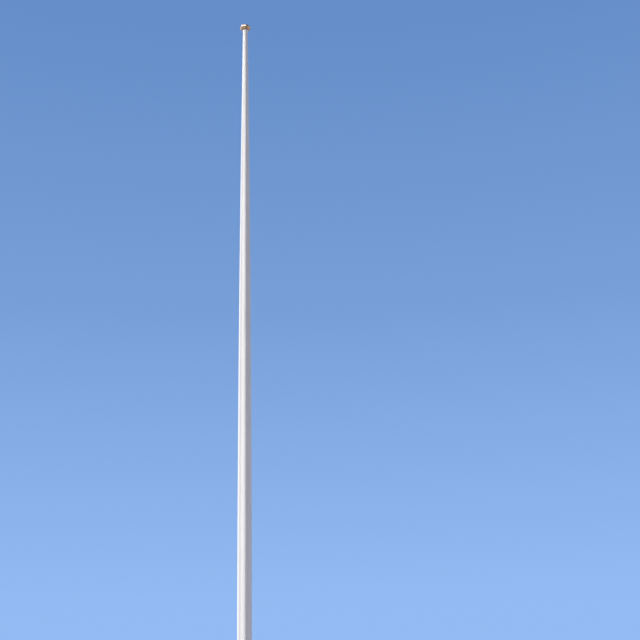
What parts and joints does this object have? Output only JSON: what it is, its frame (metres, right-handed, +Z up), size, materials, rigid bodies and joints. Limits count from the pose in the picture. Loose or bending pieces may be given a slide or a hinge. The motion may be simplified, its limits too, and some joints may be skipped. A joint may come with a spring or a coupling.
{
  "type": "flagpole",
  "caption": "White tapering flagpole with a flattened gilded knob, a truck with a halyard sheave, a horn cleat and a bolted steel foot.",
  "frame": {"origin": "centre of the base plate's underside, on the pole's axis", "axes": "+Z up along the pole; the halyard side, with the truck's sheave and the cleat, faces +Y"},
  "size_m": [0.32, 0.32, 10],
  "materials": {
    "galvanised": "matte",
    "bolt_steel": "satin",
    "gelcoat": "gloss",
    "collar_plastic": "matte",
    "cleat_aluminium": "satin",
    "pad_rubber": "matte",
    "white_enamel": "gloss",
    "bearing_plastic": "satin",
    "stainless": "satin",
    "sheave_nylon": "satin",
    "gilding": "polished"
  },
  "bodies": {
    "root": {"base_plate": "galvanised", "base_socket": "galvanised", "gusset_front": "galvanised", "gusset_back": "galvanised", "gusset_left": "galvanised", "gusset_right": "galvanised", "wedge_collar": "collar_plastic", "cross_bolt": "bolt_steel", "cross_nut": "bolt_steel", "shaft": "gelcoat", "cleat": "cleat_aluminium", "cleat_pad": "pad_rubber", "top_plug": "white_enamel", "bearing_washer": "bearing_plastic", "spindle": "stainless", "truck_body": "white_enamel", "halyard_sheave": "sheave_nylon", "sheave_axle": "stainless", "knob_seat": "gilding", "knob_lower": "gilding", "knob_upper": "gilding"}
  },
  "joints": []
}
